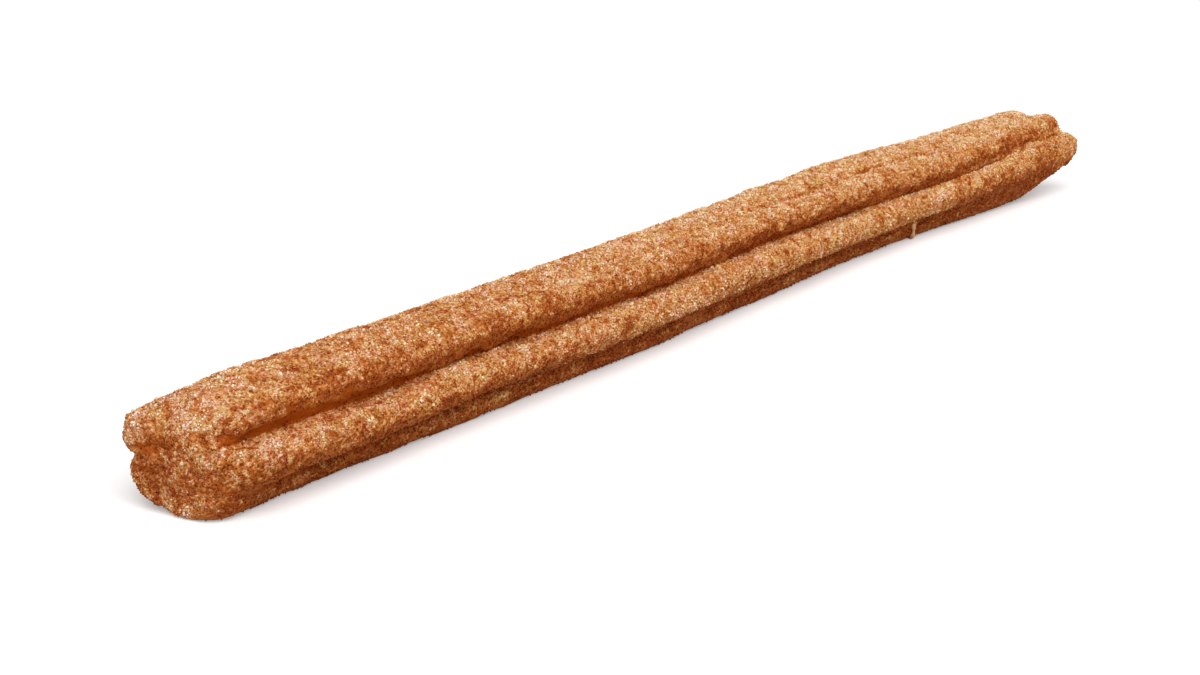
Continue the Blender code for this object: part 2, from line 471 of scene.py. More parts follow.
# How far below its surroundings a place is where it counts as a hollow, where a filling swells,
# where a filled spot shows, where the crust wanders, and where painted shade darkens a flank
HOLLOW_DEPTH = (-0.00075, 0.00070)
SWELLING_DEPTH = (-0.00035, 0.00050)
FILLED_DEPTH = (-0.00070, 0.00020)
WANDER_DEPTH = (-0.00060, 0.00020)
FLANK_DEPTH = (-0.00110, 0.00010)

# How much deeper the bare wall of the main groove counts, and how often places are averaged
# with their neighbours to find the surroundings
WALL_DEPTH = 0.00045
BLUR_STEPS = 150

# The height at which the relief is full, since it has to stay flat where the stick lies
FULL_RELIEF_OVER = (0.0005, 0.0050)


def spot_mask(tree, place, spots):
    """1 in the middle of any spot and 0 outside them, with uneven edges."""
    wobble = add(
        tree, "ShaderNodeTexNoise", {"Vector": place, "Scale": SPOT_NOISE_SCALE, "Detail": 2.0}
    )
    shift = compute_vector(tree, "SUBTRACT", wobble.outputs["Color"], (0.5, 0.5, 0.5))
    uneven = compute_vector(tree, "ADD", place, scale_vector(tree, shift, SPOT_WOBBLE))
    mask = 0.0
    for centre, radius in spots:
        away = compute_vector(tree, "DISTANCE", uneven, centre)
        near = remap(tree, away, radius * 0.35, radius, 1.0, 0.0)
        mask = compute(tree, "MAXIMUM", near, mask)
    return mask


class StickForm:
    """What the relief and the coat read off the stick, each as a socket of a geometry tree."""

    def __init__(self, tree):
        self.place = add(tree, "GeometryNodeInputPosition").outputs[0]
        self.normal = add(tree, "GeometryNodeInputNormal").outputs[0]
        self.along, self.across, self.height = split_vector(tree, self.place)
        self.facing_x, self.facing_y, self.facing_z = split_vector(tree, self.normal)
        blurred = add(
            tree, "GeometryNodeBlurAttribute", {"Value": self.place, "Iterations": BLUR_STEPS},
            data_type="FLOAT_VECTOR",
        )
        away = compute_vector(tree, "SUBTRACT", find_socket(blurred.outputs, "Value"), self.place)
        self.depth = compute_vector(tree, "DOT_PRODUCT", away, self.normal)
        self.wall = stretch(tree, self.along, BARE_WALL_FROM, BARE_WALL_TO)
        self.low = product(
            tree, remap(tree, self.height, *PALE_LOW_UNDER, 1.0, 0.0),
            remap(tree, self.along, *PALE_LOW_FROM), remap(tree, self.along, *PALE_LOW_TO, 1.0, 0.0),
        )
        self.palest = remap(tree, self.along, *PALEST_FROM)
        self.pitted = spot_mask(tree, self.place, BARE_SPOTS)
        self.filled = product(
            tree, spot_mask(tree, self.place, FILLED_SPOTS), remap(tree, self.depth, *FILLED_DEPTH)
        )


def hollow_field(tree, form):
    """How deep in a bare groove a place is: less where the grooves are pale."""
    fading = product(
        tree, remap(tree, form.along, *PALE_FROM, 1.0, 0.40),
        remap(tree, form.along, *PALEST_FROM, 1.0, 0.20), lessened(tree, form.low, 0.65),
    )
    top_pale = stretch(tree, form.along, TOP_PALE_FROM, TOP_PALE_TO, 0.25)
    top = remap(tree, form.height, *TOP_GROOVE_OVER)
    fading = weighted_sum(tree, (
        (product(tree, lessened(tree, top_pale, 0.55), top), 1.0),
        (product(tree, fading, compute(tree, "SUBTRACT", 1.0, top)), 1.0),
    ))
    fading = product(tree, fading, lessened(tree, form.filled, 0.60))
    depth = compute(tree, "MULTIPLY_ADD", form.wall, WALL_DEPTH, form.depth)
    hollow = product(tree, remap(tree, depth, *HOLLOW_DEPTH), fading)
    return compute(tree, "MAXIMUM", hollow, form.pitted)


def swollen_field(tree, form):
    """Where a groove has swollen shut and is shallower than elsewhere."""
    under = remap(tree, form.facing_z, -0.05, 0.30, 1.0, 0.0)
    swollen = compute(tree, "MAXIMUM", product(tree, form.low, under), form.palest)
    swollen = compute(tree, "MAXIMUM", swollen, form.filled)
    return product(tree, swollen, remap(tree, form.depth, *SWELLING_DEPTH))


def lift_field(tree, form, swollen, value):
    """How far the crust stands out from the plain solid."""
    wander = product(
        tree, centred_noise(tree, form.place, value["Wander Span"], 1.0),
        remap(tree, form.depth, *WANDER_DEPTH),
    )
    lift = weighted_sum(tree, (
        (centred_noise(tree, form.place, value["Wrinkle Span"], 3.0), value["Wrinkle Height"]),
        (centred_noise(tree, form.place, value["Lump Span"], 1.0), value["Lump Height"]),
        (remap(tree, named(tree, HOLLOW), 0.45, 1.0, 0.3, -1.1), value["Puff"]),
        (swollen, value["Swelling"]),
        (wander, value["Wander"]),
    ))
    pits = remap(tree, soft_noise(tree, form.place, value["Pit Span"], detail=1.0), 0.60, 0.78)
    lift = compute(tree, "SUBTRACT", lift, product(tree, pits, value["Pit Depth"]))
    return product(tree, lift, remap(tree, form.height, *FULL_RELIEF_OVER, 0.2, 1.0))


def coat_fields(tree, form, swollen):
    """How thickly sugar covers a place, and how much cinnamon and painted shade darken it."""
    overhung = remap(tree, form.facing_z, 0.05, 0.65, 1.0, 0.12)
    floor = product(tree, form.wall, remap(tree, form.height, *BARE_FLOOR_UNDER, 0.15, 0.0))
    overhung = compute(tree, "MAXIMUM", overhung, floor)
    sideways = remap(tree, form.facing_x, -0.90, -0.45, 0.15, 1.0)
    # Hollows are bare dough, and where they are overhung they are also darkened as painted shade
    hollow = product(tree, named(tree, HOLLOW), overhung, sideways)

    bare = product(tree, hollow, compute(tree, "MULTIPLY_ADD", form.wall, 0.42, 0.50))
    bare = compute(tree, "MAXIMUM", bare, product(tree, form.pitted, 0.72))
    heaps = spot_mask(tree, form.place, SUGAR_SPOTS)
    # Sugar is thinner where the surface faces down, which also paints the underside darker as shade
    upper = remap(tree, form.facing_z, -0.85, 0.25, 0.45, 1.0)
    clumps = soft_noise(tree, form.place, 0.0058, detail=2.0, roughness=0.6)
    clumps = remap(tree, clumps, 0.36, 0.60)
    crumbs = remap(tree, soft_noise(tree, form.place, 0.0021, detail=1.0), 0.36, 0.60)
    cover = product(tree, upper, weighted_sum(tree, ((clumps, 0.3), (crumbs, 0.3), (1.0, 0.4))))
    cover = product(tree, cover, compute(tree, "SUBTRACT", 1.0, bare))
    cover = compute(tree, "ADD", cover, product(tree, heaps, 0.4), clamp=True)

    lengthwise = remap(tree, compute(tree, "ABSOLUTE", form.facing_x), 0.35, 0.85, 1.0, 0.25)
    # Painted shade: darker where the surface faces down or sideways, and in the overhung recesses of
    # the flanks
    below = product(tree, remap(tree, form.facing_z, -0.60, 0.30, 0.80, 0.0), lengthwise)
    side = product(tree, remap(tree, form.facing_z, 0.10, 0.85, 1.0, 0.0), lengthwise)
    flank = product(tree, remap(tree, form.depth, *FLANK_DEPTH), overhung)
    painted_shade = weighted_sum(tree, ((below, 1.0), (flank, 0.64), (side, 0.20)))
    # Less painted shade on the side of the front ridge
    ridge_side = product(tree, form.low, remap(tree, form.height, *RIDGE_SIDE_OVER))
    painted_shade = product(tree, painted_shade, lessened(tree, ridge_side, 0.85))
    # Painted light: crests that face up are made paler
    crest = product(
        tree, remap(tree, form.facing_z, 0.55, 0.92), remap(tree, form.along, -0.13, 0.04)
    )
    # Painted shade at the foot, near the floor
    foot = product(
        tree, remap(tree, form.height, *FOOT_UNDER, 1.0, 0.0), remap(tree, form.along, *PALE_LOW_FROM)
    )
    # Painted shade on the front-facing shoulder of the upper front ridge
    shoulder = product(
        tree, remap(tree, form.facing_y, -0.60, -0.30, 1.0, 0.0),
        remap(tree, form.height, *SHOULDER_FROM), remap(tree, form.height, *SHOULDER_TO, 1.0, -0.6),
        lengthwise,
    )
    patches = soft_noise(tree, form.place, 0.0082, detail=2.0, roughness=0.6)
    # The sum mixes real cinnamon patches and spots with painted shade and painted light
    cinnamon = weighted_sum(tree, (
        (painted_shade, 1.0),
        (crest, -0.20),
        (remap(tree, patches, 0.47, 0.62), 0.34),
        (spot_mask(tree, form.place, CINNAMON_SPOTS), 0.45),
        (hollow, 0.65),
        (heaps, -0.5),
        (shoulder, 0.26),
        (product(tree, swollen, form.palest), -0.30),
        (foot, 0.06),
        (form.filled, -0.36),
        (remap(tree, form.along, -0.17, 0.17, 0.05, -0.07), 1.0),
        (remap(tree, crumbs, 0.0, 1.0, 0.18, -0.04), 1.0),
    ))
    return cover, cinnamon


def relief_tree():
    """Geometry tree: the fried crust with its lumps, where sugar and cinnamon stick to it, and where
    shade is painted on it.
    """
    inputs = (
        ("Geometry", "NodeSocketGeometry", None),
        ("Level", "NodeSocketInt", 2),
        ("Wrinkle Height", "NodeSocketFloat", 0.00036),
        ("Wrinkle Span", "NodeSocketFloat", 0.0036),
        ("Lump Height", "NodeSocketFloat", 0.00015),
        ("Lump Span", "NodeSocketFloat", 0.0019),
        ("Pit Depth", "NodeSocketFloat", 0.00035),
        ("Pit Span", "NodeSocketFloat", 0.0045),
        ("Puff", "NodeSocketFloat", 0.00022),
        ("Swelling", "NodeSocketFloat", 0.00060),
        ("Wander", "NodeSocketFloat", 0.00062),
        ("Wander Span", "NodeSocketFloat", 0.0085),
        ("Material", "NodeSocketMaterial", None),
    )
    outputs = (("Geometry", "NodeSocketGeometry", None),)
    tree, source, result = new_tree("crust relief", inputs, outputs)
    value = source.outputs
    fine = add(
        tree, "GeometryNodeSubdivisionSurface", {"Mesh": value["Geometry"], "Level": value["Level"]}
    )
    form = StickForm(tree)
    hollowed = store(tree, fine.outputs["Mesh"], HOLLOW, hollow_field(tree, form))
    swollen = swollen_field(tree, form)
    offset = scale_vector(tree, form.normal, lift_field(tree, form, swollen, value))
    moved = add(tree, "GeometryNodeSetPosition", {"Geometry": hollowed, "Offset": offset})
    grounded = compute(tree, "MAXIMUM", form.height, 0.0)
    level = add(
        tree, "ShaderNodeCombineXYZ", {"X": form.along, "Y": form.across, "Z": grounded}
    )
    settled = add(
        tree, "GeometryNodeSetPosition", {"Geometry": moved.outputs[0], "Position": level.outputs[0]}
    )
    cover, cinnamon = coat_fields(tree, form, swollen)
    covered = store(tree, settled.outputs[0], SUGAR_COVER, cover)
    spiced = store(tree, covered, CINNAMON_AND_SHADE, cinnamon)
    smooth = add(tree, "GeometryNodeSetShadeSmooth", {"Geometry": spiced})
    dress(tree, smooth.outputs[0], value["Material"], result)
    return tree


# Fine sugar between the grains: width of a speck, and its colours from cinnamon to sugar
DUST_SPAN = 0.00046
DUST_COLOURS = (
    (0.00, (0.38, 0.110, 0.024)),
    (0.25, (0.54, 0.205, 0.058)),
    (0.55, (0.72, 0.360, 0.140)),
    (0.85, (0.84, 0.520, 0.275)),
    (1.00, (0.93, 0.690, 0.455)),
)

# Depth of the finest roughness, which only the shading shows
BUMP_DEPTH = 0.0003


def crust_material(colours):
    """Fried dough under fine cinnamon sugar: barer in the hollows, and darker there partly as painted
    shade.
    """
    material, tree, shader = new_material("sugared crust", 0.6, 0.08)
    stain, place, cover = add_stain(tree)
    hollow = add(tree, "ShaderNodeAttribute", attribute_name=HOLLOW).outputs["Fac"]
    browning = soft_noise(tree, place, 0.0042, detail=3.0, roughness=0.6)
    browned = remap(tree, browning, 0.36, 0.64)
    fried = mix_colours(tree, browned, (*colours.golden, 1), (*colours.amber, 1))
    # Bare dough in the grooves, darker with depth: partly real bare dough, partly painted shade
    fried = mix_colours(tree, remap(tree, hollow, 0.35, 0.95), fried, (*colours.groove, 1))
    cells = add(tree, "ShaderNodeTexVoronoi", {"Vector": place, "Scale": 1 / DUST_SPAN})
    lot = add(tree, "ShaderNodeSeparateColor", {"Color": cells.outputs["Color"]}).outputs["Red"]
    dust = ramp(tree, lot, DUST_COLOURS)
    dust = mix_colours(tree, 1.0, dust, stain.outputs["Colour"], "MULTIPLY")
    # Thin cover on undersides shows less sugar, which leaves them darker as painted shade
    dusted = remap(tree, cover, 0.08, 0.60, 0.06, 0.88)
    tree.links.new(mix_colours(tree, dusted, fried, dust), shader.inputs["Base Color"])
    tree.links.new(remap(tree, cover, 0.1, 0.8, 0.45, 0.8), shader.inputs["Roughness"])
    grains = remap(tree, cells.outputs["Distance"], 0.0, 0.7, 1.0, 0.0)
    grains = product(tree, grains, remap(tree, cover, 0.0, 1.0, 0.2, 1.0))
    blisters = soft_noise(tree, place, 0.0013, detail=3.0, roughness=0.6)
    height = compute(tree, "ADD", grains, product(tree, blisters, 1.8))
    bump = add(tree, "ShaderNodeBump", {"Strength": 1.0, "Distance": BUMP_DEPTH, "Height": height})
    tree.links.new(bump.outputs["Normal"], shader.inputs["Normal"])
    return material


class CrustSettings(PropertyGroup):
    """Relief and colours of the fried crust."""

    wrinkle_height: FloatProperty(
        name="Wrinkle Height", description="How far the crust's wrinkles rise and fall",
        default=0.00036, min=0.0, max=0.001, precision=5, unit="LENGTH",
    )
    wrinkle_span: FloatProperty(
        name="Wrinkle Span", description="How far apart the wrinkles are",
        default=0.0036, min=0.0005, max=0.02, precision=5, unit="LENGTH",
    )
    lump_height: FloatProperty(
        name="Lump Height", description="How far the smaller lumps rise and fall",
        default=0.00015, min=0.0, max=0.001, precision=5, unit="LENGTH",
    )
    pit_depth: FloatProperty(
        name="Pit Depth", description="Depth of the small pits that bubbles left in frying",
        default=0.00035, min=0.0, max=0.001, precision=5, unit="LENGTH",
    )
    golden: FloatVectorProperty(
        name="Golden", description="Lightest colour of the fried dough",
        subtype="COLOR", size=3, min=0.0, max=1.0, default=(0.56, 0.185, 0.032),
    )
    amber: FloatVectorProperty(
        name="Amber", description="Colour of dough that was fried longer",
        subtype="COLOR", size=3, min=0.0, max=1.0, default=(0.47, 0.125, 0.016),
    )
    groove: FloatVectorProperty(
        name="Groove", description="Colour of the bare dough deep in a groove",
        subtype="COLOR", size=3, min=0.0, max=1.0, default=(0.42, 0.082, 0.004),
    )


class CHURRO_OT_crust(Operator):
    """Replaces the plain solid with a fried, wrinkled crust of the same form"""

    bl_idname = "churro.crust"
    bl_label = "Fried Crust"

    def execute(self, context):
        settings = context.scene.churro_crust
        crust = link_object("crust", merged_copy(CHURRO.data))
        apply_tree(crust, relief_tree(), {
            "Wrinkle Height": settings.wrinkle_height,
            "Wrinkle Span": settings.wrinkle_span,
            "Lump Height": settings.lump_height,
            "Pit Depth": settings.pit_depth,
            "Material": crust_material(settings),
        })
        keep_piece(crust)
        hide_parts("churro")
        return {"FINISHED"}


def merged_copy(source):
    """A copy of a mesh of loose triangles, joined up and turned back into four-sided faces."""
    mesh = bmesh.new()
    mesh.from_mesh(source)
    bmesh.ops.remove_doubles(mesh, verts=mesh.verts, dist=1e-6)
    bmesh.ops.join_triangles(
        mesh, faces=mesh.faces, angle_face_threshold=math.radians(50),
        angle_shape_threshold=math.radians(70),
    )
    made = bpy.data.meshes.new("crust form")
    mesh.to_mesh(made)
    mesh.free()
    return made


# Cinnamon sugar

# Seeds of what is drawn for each grain
LOT_SEED = 3
TURN_SEED = 11
SIZE_SEED = 17
SHAPE_SEED = 23
TINT_SEED = 29

# Side of a crystal and radius of a grain before they are scaled to size
CRYSTAL_SIDE = 0.82
GRAIN_RADIUS = 0.56

# Least and most that a grain is squashed or stretched each way, and how rare large ones are
LEAST_SHAPE = (0.75, 0.75, 0.65)
MOST_SHAPE = (1.2, 1.2, 1.1)
LARGE_ARE_RARE = 1.6


def grain_lot(tree, place):
    """What decides the kind of a grain, from 0 for dark to 1 for pale: low in cinnamon and in painted
    shade.
    """
    lot = weighted_sum(tree, (
        (random_draw(tree, 0.0, 1.0, LOT_SEED), 0.66),
        (soft_noise(tree, place, 0.0075, detail=2.0, roughness=0.6), 0.75),
        (soft_noise(tree, place, 0.0024, detail=1.0), 1.2),
        (named(tree, SUGAR_COVER), 0.30),
        # Darker grains where the cinnamon attribute holds painted shade
        (named(tree, CINNAMON_AND_SHADE), -0.50),
        (1.0, -0.865),
    ))
    return compute(tree, "MAXIMUM", compute(tree, "MINIMUM", lot, 1.0), 0.0)


def grain_form(tree, form):
    """A plain grain about 1 across: a cube for a crystal, an eight-sided ball for the rest."""
    if form == "crystals":
        return add(tree, "GeometryNodeMeshCube", {"Size": (CRYSTAL_SIDE,) * 3}).outputs["Mesh"]
    inputs = {"Segments": 4, "Rings": 2, "Radius": GRAIN_RADIUS}
    return add(tree, "GeometryNodeMeshUVSphere", inputs).outputs["Mesh"]


def scatter_tree(form):
    """Geometry tree: grains of one form scattered over the crust, where its sugar cover says."""
    name = f"scatter {form}"
    if name in bpy.data.node_groups:
        return bpy.data.node_groups[name]
    inputs = (
        ("Geometry", "NodeSocketGeometry", None),
        ("Spacing", "NodeSocketFloat", 0.0006),
        ("Density", "NodeSocketFloat", 8e6),
        ("Share From", "NodeSocketFloat", 0.0),
        ("Share To", "NodeSocketFloat", 1.0),
        ("Smallest", "NodeSocketFloat", 0.0004),
        ("Largest", "NodeSocketFloat", 0.0008),
        ("Rise", "NodeSocketFloat", 0.00008),
        ("Ground Gap", "NodeSocketFloat", 0.00045),
        ("Seed", "NodeSocketInt", 7),
        ("Material", "NodeSocketMaterial", None),
    )
    outputs = (("Geometry", "NodeSocketGeometry", None),)
    tree, source, result = new_tree(name, inputs, outputs)
    value = source.outputs
    spread = add(
        tree, "GeometryNodeDistributePointsOnFaces",
        {
            "Mesh": value["Geometry"], "Distance Min": value["Spacing"],
            "Density Max": value["Density"],
            "Density Factor": remap_linear(tree, named(tree, SUGAR_COVER), 0.05, 1.0),
            "Seed": value["Seed"],
        },
        distribute_method="POISSON",
    )
    place = add(tree, "GeometryNodeInputPosition").outputs[0]
    lot = grain_lot(tree, place)
    below = compute(tree, "LESS_THAN", lot, value["Share From"])
    above = compute(tree, "GREATER_THAN", lot, value["Share To"])
    _, _, height = split_vector(tree, place)
    grounded = compute(tree, "LESS_THAN", height, value["Ground Gap"])
    unwanted = compute(tree, "MAXIMUM", compute(tree, "MAXIMUM", below, above), grounded)
    kept = add(
        tree, "GeometryNodeDeleteGeometry",
        {"Geometry": spread.outputs["Points"], "Selection": unwanted}, domain="POINT",
    )
    offset = scale_vector(tree, spread.outputs["Normal"], value["Rise"])
    raised = add(tree, "GeometryNodeSetPosition", {"Geometry": kept.outputs[0], "Offset": offset})
    skew = compute(tree, "POWER", random_draw(tree, 0.0, 1.0, SIZE_SEED), LARGE_ARE_RARE)
    size = remap_linear(tree, skew, value["Smallest"], value["Largest"])
    placed = add(
        tree, "GeometryNodeInstanceOnPoints",
        {
            "Points": raised.outputs[0], "Instance": grain_form(tree, form),
            "Rotation": random_draw(tree, (0.0, 0.0, 0.0), (math.tau, math.tau, math.tau), TURN_SEED),
            "Scale": scale_vector(tree, random_draw(tree, LEAST_SHAPE, MOST_SHAPE, SHAPE_SEED), size),
        },
    )
    tint = random_draw(tree, 0.0, 1.0, TINT_SEED)
    tinted = store(tree, placed.outputs[0], TINT, tint, domain="INSTANCE")
    real = add(tree, "GeometryNodeRealizeInstances", {"Geometry": tinted})
    flat = add(
        tree, "GeometryNodeSetShadeSmooth", {"Geometry": real.outputs[0], "Shade Smooth": False}
    )
    dress(tree, flat.outputs[0], value["Material"], result)
    return tree


class GrainKind(NamedTuple):
    """One kind of grain."""

    piece: str
    form: str
    share_from: float
    share_to: float
    smallest: float
    largest: float
    rise: float
    light: tuple
    dark: tuple
    roughness: float
    specular: float


def grain_material(kind):
    """Sugar grains that each have their own tint, under the same stain and painted shade as the
    crust.
    """
    material, tree, shader = new_material(
        kind.piece.replace("_", " "), kind.roughness, kind.specular
    )
    stain, _, _ = add_stain(tree)
    tint = add(tree, "ShaderNodeAttribute", attribute_name=TINT).outputs["Fac"]
    colour = mix_colours(tree, tint, (*kind.dark, 1.0), (*kind.light, 1.0))
    colour = mix_colours(tree, 1.0, colour, stain.outputs["Colour"], "MULTIPLY")
    tree.links.new(colour, shader.inputs["Base Color"])
    return material


# The kinds of grain, each with its share of the lots, and all sizes in metres
GRAIN_KINDS = (
    GrainKind(
        "cinnamon_specks", "grains", 0.00, 0.10, 0.00030, 0.00050, 0.00009,
        light=(0.400, 0.118, 0.028), dark=(0.270, 0.066, 0.014), roughness=0.7, specular=0.1,
    ),
    GrainKind(
        "cinnamon_sugar", "grains", 0.10, 0.40, 0.00034, 0.00062, 0.00007,
        light=(0.620, 0.265, 0.090), dark=(0.480, 0.170, 0.045), roughness=0.55, specular=0.15,
    ),
    GrainKind(
        "golden_sugar", "grains", 0.40, 0.80, 0.00036, 0.00068, 0.00009,
        light=(0.870, 0.570, 0.330), dark=(0.760, 0.440, 0.205), roughness=0.5, specular=0.2,
    ),
    GrainKind(
        "sugar_crystals", "crystals", 0.80, 1.00, 0.00034, 0.00062, 0.00011,
        light=(0.970, 0.790, 0.610), dark=(0.900, 0.660, 0.440), roughness=0.4, specular=0.25,
    ),
)


class SugarSettings(PropertyGroup):
    """How the cinnamon sugar is scattered."""

    spacing: FloatProperty(
        name="Spacing", description="Least distance between the middles of two grains",
        default=0.00047, min=0.0003, max=0.003, precision=5, unit="LENGTH",
    )
    seed: IntProperty(
        name="Seed", description="Which of the scattered patterns is used",
        default=7, min=0, max=1000,
    )


class CHURRO_OT_sugar(Operator):
    """Scatters the grains of cinnamon sugar over the crust, one piece for each kind"""

    bl_idname = "churro.sugar"
    bl_label = "Cinnamon Sugar"

    def execute(self, context):
        settings = context.scene.churro_sugar
        for kind in GRAIN_KINDS:
            piece = link_object(kind.piece, bpy.data.objects["crust"].data.copy())
            apply_tree(piece, scatter_tree(kind.form), {
                "Spacing": settings.spacing,
                "Share From": kind.share_from,
                "Share To": kind.share_to,
                "Smallest": kind.smallest,
                "Largest": kind.largest,
                "Rise": kind.rise,
                "Seed": settings.seed,
                "Material": grain_material(kind),
            })
            keep_piece(piece)
        return {"FINISHED"}


# Wisp of dough

# Where the wisp hangs, at its upper and its lower end: the X, and the angle about the stick's
# axis, from the front over the top
WISP_X = (0.0898, 0.0976)
WISP_ANGLES = (math.radians(-21), math.radians(-70))

# Y and Z of the stick's axis there, and how far outside it a line that meets the crust starts
STICK_AXIS = (0.0030, 0.0120)
OUTSIDE = 0.03

# Rings down the wisp and corners of a ring, and the share of its way left off at each end
WISP_STEPS = 12
WISP_SIDES = 8
WISP_TIP = 0.02


class WispSettings(PropertyGroup):
    """The small flake of dough that hangs from the front ridge."""

    wisp_width: FloatProperty(
        name="Wisp Width", description="Width of the flake along the stick",
        default=0.0015, min=0.0003, max=0.004, precision=5, unit="LENGTH",
    )
    wisp_thickness: FloatProperty(
        name="Wisp Thickness", description="How far the flake stands out from the crust",
        default=0.0012, min=0.0002, max=0.003, precision=5, unit="LENGTH",
    )
    wisp_colour: FloatVectorProperty(
        name="Wisp Colour", description="Colour of the pale torn dough",
        subtype="COLOR", size=3, min=0.0, max=1.0, default=(0.86, 0.52, 0.26),
    )


def between(ends, share):
    """The number at a share of the way between two others."""
    return ends[0] + (ends[1] - ends[0]) * share


def touch_crust(crust, x, angle):
    """Where the crust is met at an angle about the stick's axis, and the way out of it there."""
    axis = Vector((x, *STICK_AXIS))
    outward = Vector((0.0, -math.cos(angle), math.sin(angle)))
    place, normal, _, _ = crust.ray_cast(axis + outward * OUTSIDE, -outward)
    if place is None:
        raise RuntimeError("the wisp of dough misses the crust")
    return axis, outward, place, normal


def wisp_ring(crust, share, width, thickness):
    """The points of one ring round the wisp, at a share of its way down over the groove."""
    x = between(WISP_X, share) + 0.0004 * noise.noise(Vector((share * 3.1, 4.7, 0.2)))
    axis, outward, place, normal = touch_crust(crust, x, between(WISP_ANGLES, share))
    first, last = (touch_crust(crust, *end)[2] for end in zip(WISP_X, WISP_ANGLES))
    straight = first.lerp(last, share)
    if (straight - axis).length > (place - axis).length:
        place, normal = straight, outward
    swell = math.sqrt(max(0.0, 1 - (2 * share - 1) ** 4))
    swell *= 1 + 0.9 * noise.noise(Vector((share * 6.3, 1.3, 8.8)))
    middle = place + normal * thickness * 0.25
    side = Vector((1.0, 0.0, 0.0))
    ring = []
    for index in range(WISP_SIDES):
        turn = math.tau * index / WISP_SIDES
        lump = noise.noise(Vector((share * 9.0, 2.0 * math.cos(turn), 2.0 * math.sin(turn))))
        reach = swell * (1 + 0.5 * lump) / 2
        sideways = side * width * reach * math.cos(turn)
        point = middle + sideways + normal * thickness * reach * math.sin(turn)
        ring.append(Vector((point.x, point.y, max(point.z, 0.0))))
    return ring


class CHURRO_OT_wisp(Operator):
    """Adds the small pale flake of dough that hangs from the front ridge"""

    bl_idname = "churro.wisp"
    bl_label = "Wisp of Dough"

    def execute(self, context):
        settings = context.scene.churro_wisp
        crust = BVHTree.FromObject(bpy.data.objects["crust"], context.evaluated_depsgraph_get())
        mesh = bmesh.new()
        rings = []
        for step in range(WISP_STEPS + 1):
            share = WISP_TIP + (1 - 2 * WISP_TIP) * step / WISP_STEPS
            points = wisp_ring(crust, share, settings.wisp_width, settings.wisp_thickness)
            rings.append([mesh.verts.new(point) for point in points])
        for ring, after in zip(rings, rings[1:]):
            for index in range(WISP_SIDES):
                beside = (index + 1) % WISP_SIDES
                mesh.faces.new((ring[index], ring[beside], after[beside], after[index]))
        mesh.faces.new(rings[0])
        mesh.faces.new(rings[-1])
        bmesh.ops.recalc_face_normals(mesh, faces=mesh.faces)
        bmesh.ops.subdivide_edges(mesh, edges=mesh.edges, cuts=1, smooth=1.0, use_grid_fill=True)
        data = bpy.data.meshes.new("dough_wisp")
        mesh.to_mesh(data)
        mesh.free()
        data.shade_smooth()
        wisp = link_object("dough_wisp", data)
        data.materials.append(wisp_material(settings.wisp_colour))
        keep_piece(wisp)
        return {"FINISHED"}


def wisp_material(colour):
    """Torn dough, paler than the crust, with specks of cinnamon."""
    material, tree, shader = new_material("torn dough", 0.7, 0.15)
    place = add(tree, "ShaderNodeTexCoord").outputs["Object"]
    specks = remap(tree, soft_noise(tree, place, 0.0007, detail=2.0), 0.52, 0.66)
    browned = (colour[0] * 0.66, colour[1] * 0.45, colour[2] * 0.30, 1.0)
    tree.links.new(mix_colours(tree, specks, (*colour, 1.0), browned), shader.inputs["Base Color"])
    rough = soft_noise(tree, place, 0.0005, detail=2.0)
    bump = add(tree, "ShaderNodeBump", {"Strength": 0.8, "Distance": 0.0002, "Height": rough})
    tree.links.new(bump.outputs["Normal"], shader.inputs["Normal"])
    return material


# Stage

class StageSettings(PropertyGroup):
    """Floor, light and camera."""

    floor_colour: FloatVectorProperty(
        name="Floor Colour", description="Colour of the pale floor and surroundings",
        subtype="COLOR", size=3, min=0.0, max=1.0, default=(0.80, 0.80, 0.80),
    )
    light_power: FloatProperty(
        name="Light Power", description="Strength of the wide soft light",
        default=2.6, min=0.0, max=100.0,
    )
    fill_strength: FloatProperty(
        name="Fill Strength", description="Strength of the light from all round",
        default=0.38, min=0.0, max=10.0,
    )
    camera_place: FloatVectorProperty(
        name="Camera Place", description="Where the camera stands",
        subtype="XYZ", size=3, unit="LENGTH", default=(-0.4345, -0.3120, 0.1720),
    )
    camera_heading: FloatProperty(
        name="Camera Heading", description="Direction of view, from +X towards +Y",
        subtype="ANGLE", default=math.radians(38.3933),
    )
    camera_dip: FloatProperty(
        name="Camera Dip", description="How far the view points below the horizon",
        subtype="ANGLE", default=math.radians(18.5517),
    )
    camera_roll: FloatProperty(
        name="Camera Roll", description="How far the camera leans to the side",
        subtype="ANGLE", default=math.radians(0.9268),
    )
    focal_length: FloatProperty(
        name="Focal Length", description="Focal length for a 36 mm wide sensor",
        default=66.00, min=10.0, max=300.0,
    )


SENSOR_WIDTH = 36.0
FLOOR_RADIUS = 6.0
SKY_COLOUR = (1.0, 0.99, 0.975, 1.0)

# The soft light comes from high on the left, over the camera, and from a wide patch of sky
LIGHT_FROM = Vector((-0.35, -0.46, 0.81))
LIGHT_SPREAD = math.radians(50)

# What the floor throws back at the stick, which is less than a white floor would, and the
# glow that keeps it pale in the picture
FLOOR_BOUNCE = (0.61, 0.55, 0.49, 1.0)
FLOOR_GLOW = (0.30, 0.30, 0.30, 1.0)
BLACK = (0.0, 0.0, 0.0, 1.0)


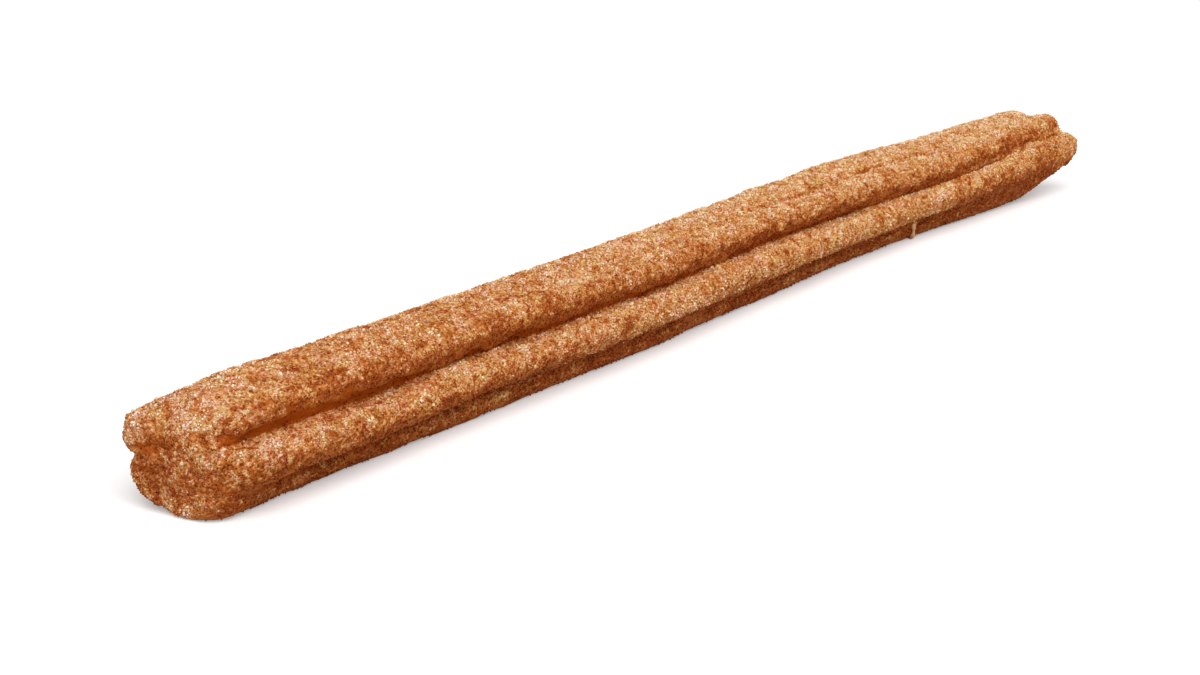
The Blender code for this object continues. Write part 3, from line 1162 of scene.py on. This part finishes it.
def aim_camera(settings):
    """The camera at the photographed angle."""
    heading, dip, roll = settings.camera_heading, settings.camera_dip, settings.camera_roll
    forward = Vector((
        math.cos(heading) * math.cos(dip), math.sin(heading) * math.cos(dip), -math.sin(dip),
    ))
    right = Vector((math.sin(heading), -math.cos(heading), 0.0))
    up = right.cross(forward)
    tilted_right = right * math.cos(roll) + up * math.sin(roll)
    tilted_up = up * math.cos(roll) - right * math.sin(roll)
    camera = bpy.data.objects.new("camera", bpy.data.cameras.new("camera"))
    camera.data.sensor_width = SENSOR_WIDTH
    camera.data.lens = settings.focal_length
    camera.data.clip_start = 0.01
    rotation = Matrix((tilted_right, tilted_up, -forward)).transposed()
    camera.matrix_world = Matrix.Translation(settings.camera_place) @ rotation.to_4x4()
    return camera


def floor_material(colour):
    """Plain pale floor with hardly any gloss."""
    material, tree, shader = new_material("pale floor", 0.9, 0.1)
    seen = add(tree, "ShaderNodeLightPath").outputs["Is Camera Ray"]
    tree.links.new(mix_colours(tree, seen, FLOOR_BOUNCE, (*colour, 1.0)), shader.inputs["Base Color"])
    tree.links.new(mix_colours(tree, seen, BLACK, FLOOR_GLOW), shader.inputs["Emission Color"])
    shader.inputs["Emission Strength"].default_value = 1.0
    return material


class CHURRO_OT_stage(Operator):
    """Builds the floor, the light and the camera"""

    bl_idname = "churro.stage"
    bl_label = "Stage"

    def execute(self, context):
        settings = context.scene.churro_stage
        scene = context.scene
        mesh = bmesh.new()
        bmesh.ops.create_circle(mesh, cap_ends=True, segments=96, radius=FLOOR_RADIUS)
        data = bpy.data.meshes.new("floor")
        mesh.to_mesh(data)
        mesh.free()
        data.materials.append(floor_material(settings.floor_colour))
        floor = link_object("floor", data)

        world = bpy.data.worlds.new("surroundings")
        world.use_nodes = True
        background = world.node_tree.nodes["Background"]
        background.inputs["Color"].default_value = SKY_COLOUR
        background.inputs["Strength"].default_value = settings.fill_strength
        scene.world = world

        light = bpy.data.lights.new("soft light", "SUN")
        light.angle = LIGHT_SPREAD
        light.energy = settings.light_power
        lamp = bpy.data.objects.new("soft light", light)
        lamp.location = LIGHT_FROM
        lamp.rotation_euler = LIGHT_FROM.to_track_quat("Z", "Y").to_euler()
        scene.collection.objects.link(lamp)

        camera = aim_camera(settings)
        scene.collection.objects.link(camera)
        scene.camera = camera
        scene.view_settings.view_transform = "Standard"
        scene.view_settings.look = "None"
        return {"FINISHED"}


# Panel and registration

class CHURRO_PT_builder(Panel):
    """Lists what the churro is built from"""

    bl_idname = "CHURRO_PT_builder"
    bl_label = "Churro"
    bl_space_type = "VIEW_3D"
    bl_region_type = "UI"
    bl_category = "Churro"

    def draw(self, context):
        steps = (
            (CHURRO_OT_crust, context.scene.churro_crust),
            (CHURRO_OT_sugar, context.scene.churro_sugar),
            (CHURRO_OT_wisp, context.scene.churro_wisp),
            (CHURRO_OT_stage, context.scene.churro_stage),
        )
        for operator, settings in steps:
            box = self.layout.box()
            for name in settings.__annotations__:
                box.prop(settings, name)
            box.operator(operator.bl_idname)


CLASSES = (
    CrustSettings,
    SugarSettings,
    WispSettings,
    StageSettings,
    CHURRO_OT_crust,
    CHURRO_OT_sugar,
    CHURRO_OT_wisp,
    CHURRO_OT_stage,
    CHURRO_PT_builder,
)


def register():
    """Makes the settings, the operators and the panel known."""
    for item in CLASSES:
        bpy.utils.register_class(item)
    bpy.types.Scene.churro_crust = PointerProperty(type=CrustSettings)
    bpy.types.Scene.churro_sugar = PointerProperty(type=SugarSettings)
    bpy.types.Scene.churro_wisp = PointerProperty(type=WispSettings)
    bpy.types.Scene.churro_stage = PointerProperty(type=StageSettings)


def unregister():
    """Takes them away again."""
    del bpy.types.Scene.churro_stage
    del bpy.types.Scene.churro_wisp
    del bpy.types.Scene.churro_sugar
    del bpy.types.Scene.churro_crust
    for item in reversed(CLASSES):
        bpy.utils.unregister_class(item)


def main():
    """Builds the churro and its stage."""
    register()
    bpy.ops.churro.crust()
    bpy.ops.churro.sugar()
    bpy.ops.churro.wisp()
    bpy.ops.churro.stage()


if __name__ == "__main__":
    main()
